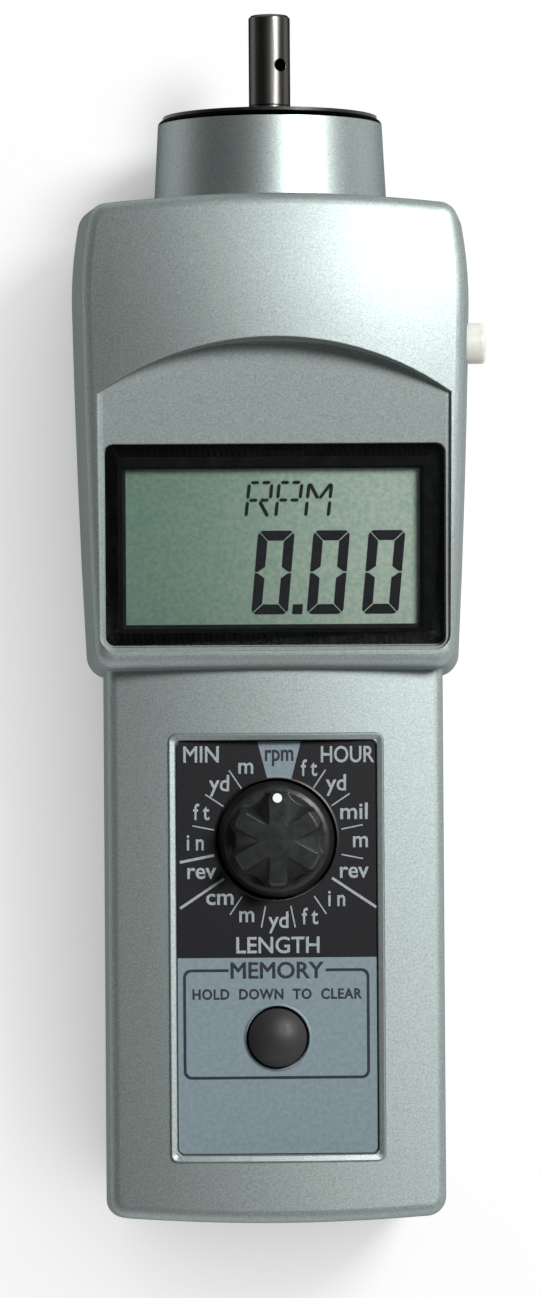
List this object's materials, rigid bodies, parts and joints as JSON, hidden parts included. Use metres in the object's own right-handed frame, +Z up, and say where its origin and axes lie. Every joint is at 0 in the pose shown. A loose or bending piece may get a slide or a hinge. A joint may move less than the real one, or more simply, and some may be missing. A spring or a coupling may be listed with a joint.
{
  "type": "hand tachometer",
  "caption": "Hand-held contact tachometer with a spinning drive shaft, display window, rotary selector knob, push buttons and a slide-off battery cover.",
  "frame": {"origin": "on the flat rear face that it rests on, under the drive shaft's centre line, at the shoulder between head and handle", "axes": "+X to the right of the display, +Y along the body from the handle towards the drive shaft, +Z up out of the display"},
  "size_m": [0.0631, 0.1843, 0.0459],
  "materials": {
    "case_paint": "silver metallic paint on moulded plastic, fine grain",
    "black_plastic": "moulded black plastic, satin",
    "ivory_plastic": "moulded ivory plastic, satin",
    "clear_window": "clear moulded sheet",
    "display_glass": "grey-green reflective display glass",
    "label_film": "printed polyester film",
    "shaft_steel": "turned stainless steel",
    "bearing_steel": "ground bearing steel",
    "sheet_steel": "pressed steel",
    "turned_aluminium": "turned aluminium",
    "screw_steel": "zinc-plated screws",
    "board_laminate": "glass-fibre laminate with green lacquer",
    "component_plastic": "moulded black component housings",
    "spindle_nylon": "moulded natural nylon",
    "strip_rubber": "layered conductive silicone rubber",
    "contact_steel": "nickel-plated spring steel",
    "cell_can": "plain wrapped steel cell"
  },
  "bodies": {
    "housing": {"battery_link": "contact_steel", "battery_terminals": "contact_steel", "bearing_sleeve": "turned_aluminium", "case_screws": "screw_steel", "cell_left": "cell_can", "cell_right": "cell_can", "conductive_strips": "strip_rubber", "crystal": "sheet_steel", "display_board": "board_laminate", "display_board_screws": "screw_steel", "display_header": "component_plastic", "display_window": "clear_window", "front_bearing_outer": "bearing_steel", "front_shell": "case_paint", "keypad_label": "label_film", "lcd_holder": "black_plastic", "lcd_panel": "display_glass", "light_barrier": "component_plastic", "main_board": "board_laminate", "main_board_screws": "screw_steel", "measure_board": "board_laminate", "measure_switch": "component_plastic", "memory_switch": "component_plastic", "nose_cap": "black_plastic", "nose_collar": "case_paint", "nose_screws": "screw_steel", "processor_chip": "component_plastic", "rear_bearing_outer": "bearing_steel", "rear_shell": "case_paint", "selector_switch": "component_plastic", "sensor_board": "board_laminate", "sensor_board_screws": "screw_steel", "sensor_ribbon": "spindle_nylon", "sleeve_circlip": "sheet_steel", "smoothing_capacitors": "component_plastic"},
    "shaft": {"drive_shaft": "shaft_steel", "rear_bearing_inner": "bearing_steel", "front_bearing_inner": "bearing_steel", "bearing_spacer": "turned_aluminium", "shaft_circlip": "sheet_steel", "encoder_hub": "turned_aluminium", "encoder_disc": "sheet_steel", "disc_clamp": "turned_aluminium", "hub_set_screw": "sheet_steel"},
    "rear_cage": {"rear_bearing_cage": "sheet_steel", "rear_bearing_balls": "bearing_steel"},
    "front_cage": {"front_bearing_cage": "sheet_steel", "front_bearing_balls": "bearing_steel"},
    "selector": {"selector_knob": "black_plastic", "selector_spindle": "spindle_nylon"},
    "memory": {"memory_button": "black_plastic", "memory_plunger": "component_plastic"},
    "measure": {"measure_button": "ivory_plastic", "measure_plunger": "component_plastic"},
    "cover": {"battery_cover": "case_paint"}
  },
  "joints": [
    {"name": "shaft_spin", "type": "hinge", "parent": "housing", "child": "shaft", "pos_m": [0, 0.07, 0.023], "axis": [0, 1, 0], "continuous": true},
    {"name": "rear_cage_spin", "type": "hinge", "parent": "housing", "child": "rear_cage", "pos_m": [0, 0.059, 0.023], "axis": [0, 1, 0], "continuous": true},
    {"name": "front_cage_spin", "type": "hinge", "parent": "housing", "child": "front_cage", "pos_m": [0, 0.0809, 0.023], "axis": [0, 1, 0], "continuous": true},
    {"name": "selector_turn", "type": "hinge", "parent": "housing", "child": "selector", "pos_m": [0, -0.0244, 0.035], "axis": [0, 0, -1], "continuous": true},
    {"name": "memory_press", "type": "slide", "parent": "housing", "child": "memory", "axis": [0, 0, -1], "range_m": [0, 0.0005], "stiffness_N_per_m": 1200, "springref_m": -0.0005},
    {"name": "measure_press", "type": "slide", "parent": "housing", "child": "measure", "axis": [-1, 0, 0], "range_m": [0, 0.0006], "stiffness_N_per_m": 1000, "springref_m": -0.0008},
    {"name": "battery_cover_slide", "type": "slide", "parent": "housing", "child": "cover", "axis": [0, -1, 0], "range_m": [0, 0.064]}
  ],
  "couplings": [
    {"joint": "rear_cage_spin", "follows": "shaft_spin", "ratio": 0.3651},
    {"joint": "front_cage_spin", "follows": "shaft_spin", "ratio": 0.3651}
  ]
}
